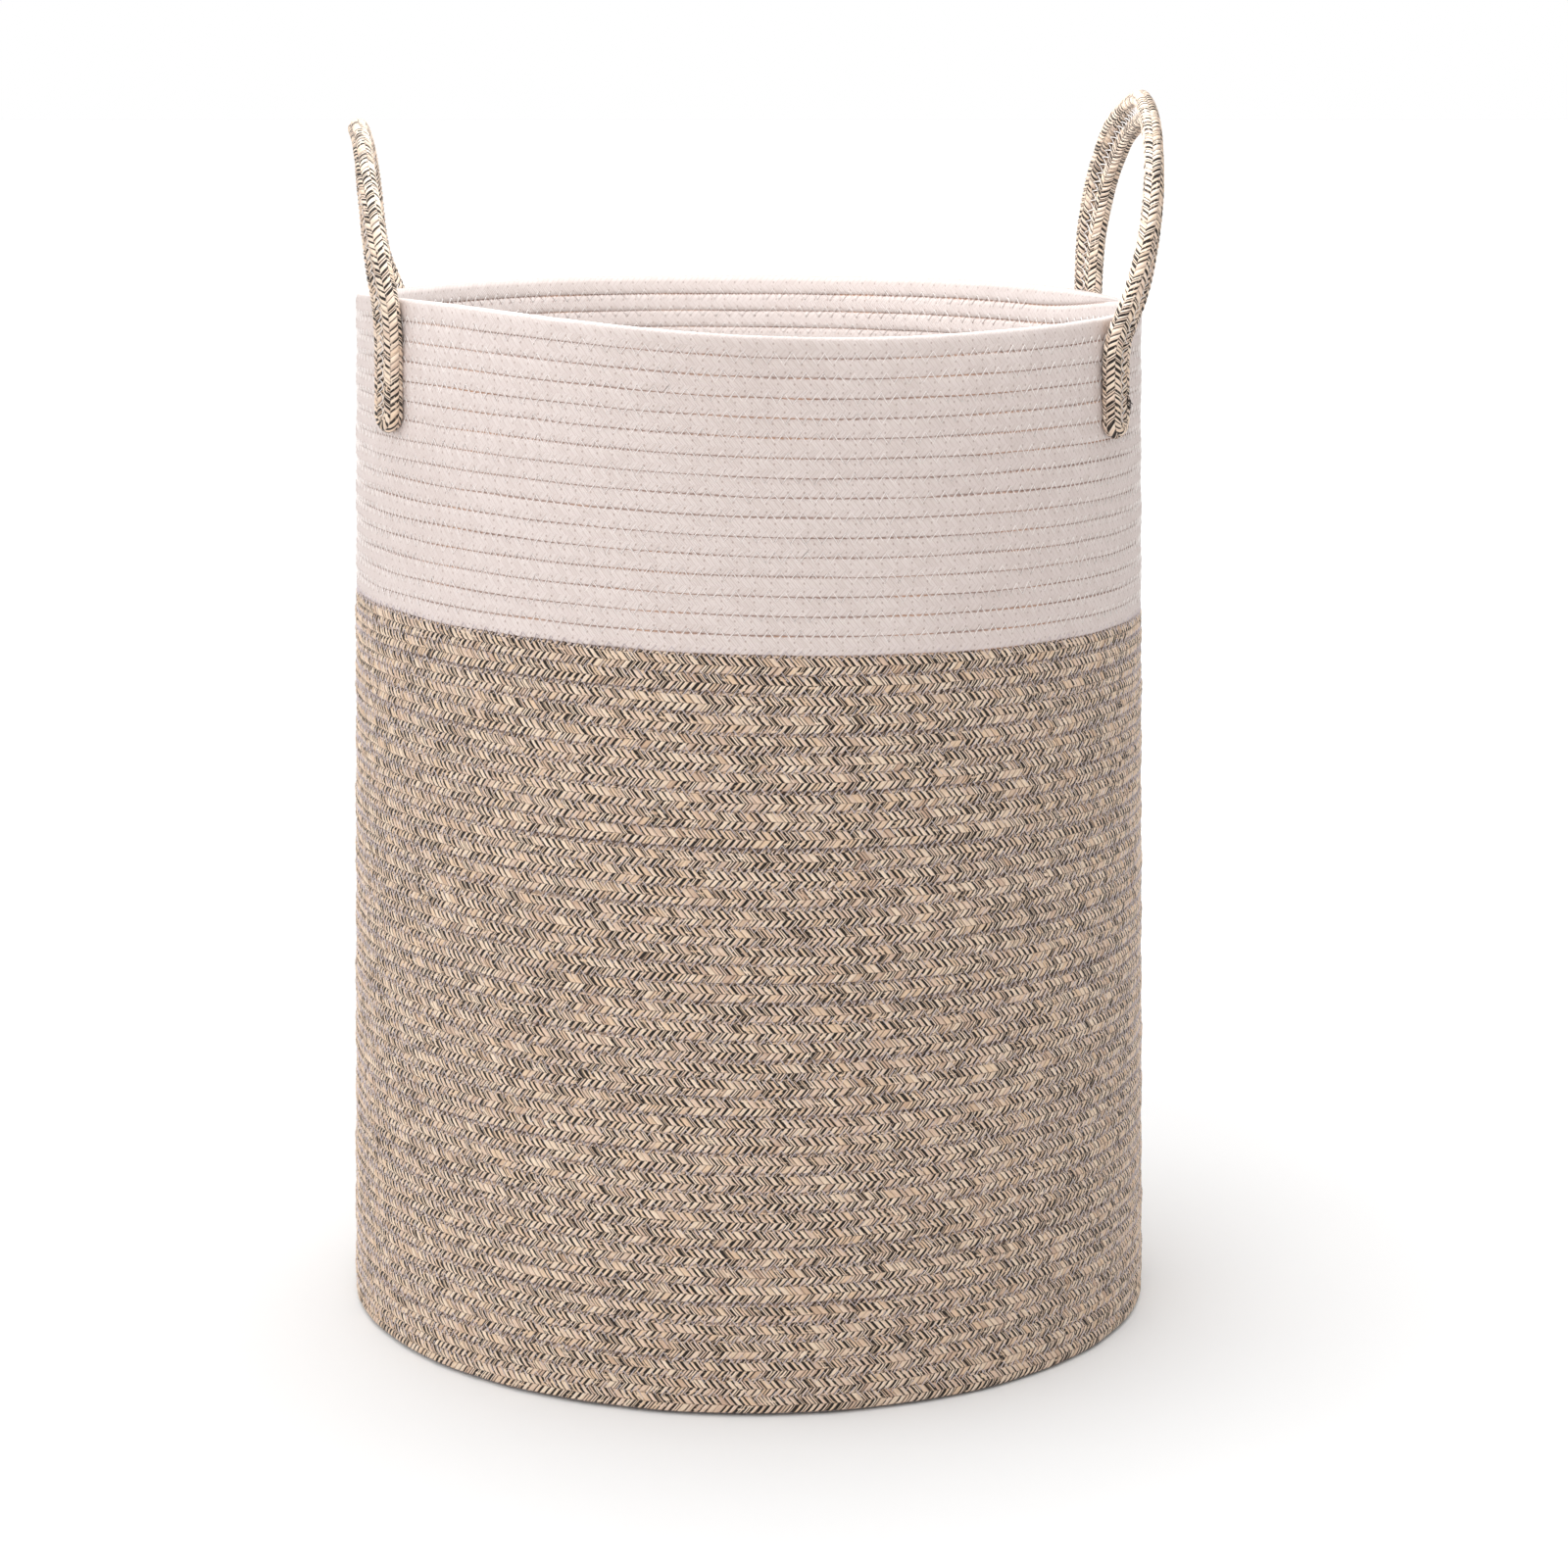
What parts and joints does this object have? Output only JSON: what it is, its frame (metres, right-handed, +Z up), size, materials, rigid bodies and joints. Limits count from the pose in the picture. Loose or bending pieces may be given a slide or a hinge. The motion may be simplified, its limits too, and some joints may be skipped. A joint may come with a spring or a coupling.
{
  "type": "woven laundry basket",
  "caption": "Tall round laundry basket of coiled, stitched cotton rope, mottled below and cream above, with a standing rope loop handle on each side.",
  "frame": {"origin": "middle of the base on the floor, under the middle of the basket's box", "axes": "+Z up along the basket's axis, -Y towards the front, +X towards the right-hand handle"},
  "size_m": [0.4071, 0.4052, 0.6061],
  "materials": {
    "mottled_rope": "braided cotton in tan and cream with thin dark yarns, matte",
    "white_rope": "cream knitted cotton, matte",
    "sewing_thread": "off-white polyester thread, matte"
  },
  "bodies": {
    "basket": {"base_coil": "mottled_rope", "lower_wall": "mottled_rope", "upper_wall": "white_rope", "base_seam_thread": "sewing_thread", "lower_seam_thread": "sewing_thread", "upper_seam_thread": "sewing_thread", "left_front_leg": "mottled_rope", "left_back_leg": "mottled_rope", "left_handle_stitches": "sewing_thread", "right_front_leg": "mottled_rope", "right_back_leg": "mottled_rope", "right_handle_stitches": "sewing_thread"},
    "left_handle": {"left_grip_inner_rope": "mottled_rope", "left_grip_outer_rope": "mottled_rope"},
    "right_handle": {"right_grip_inner_rope": "mottled_rope", "right_grip_outer_rope": "mottled_rope"}
  },
  "joints": [
    {"name": "left_handle_hinge", "type": "hinge", "parent": "basket", "child": "left_handle", "pos_m": [-0.17406, -0.01065, 0.505], "axis": [0.061, -0.9981, 0], "range_deg": [-75, 115], "stiffness_Nm_per_rad": 0.15},
    {"name": "right_handle_hinge", "type": "hinge", "parent": "basket", "child": "right_handle", "pos_m": [0.17435, -0.00365, 0.505], "axis": [0.0209, 0.9998, 0], "range_deg": [-75, 115], "stiffness_Nm_per_rad": 0.15}
  ]
}
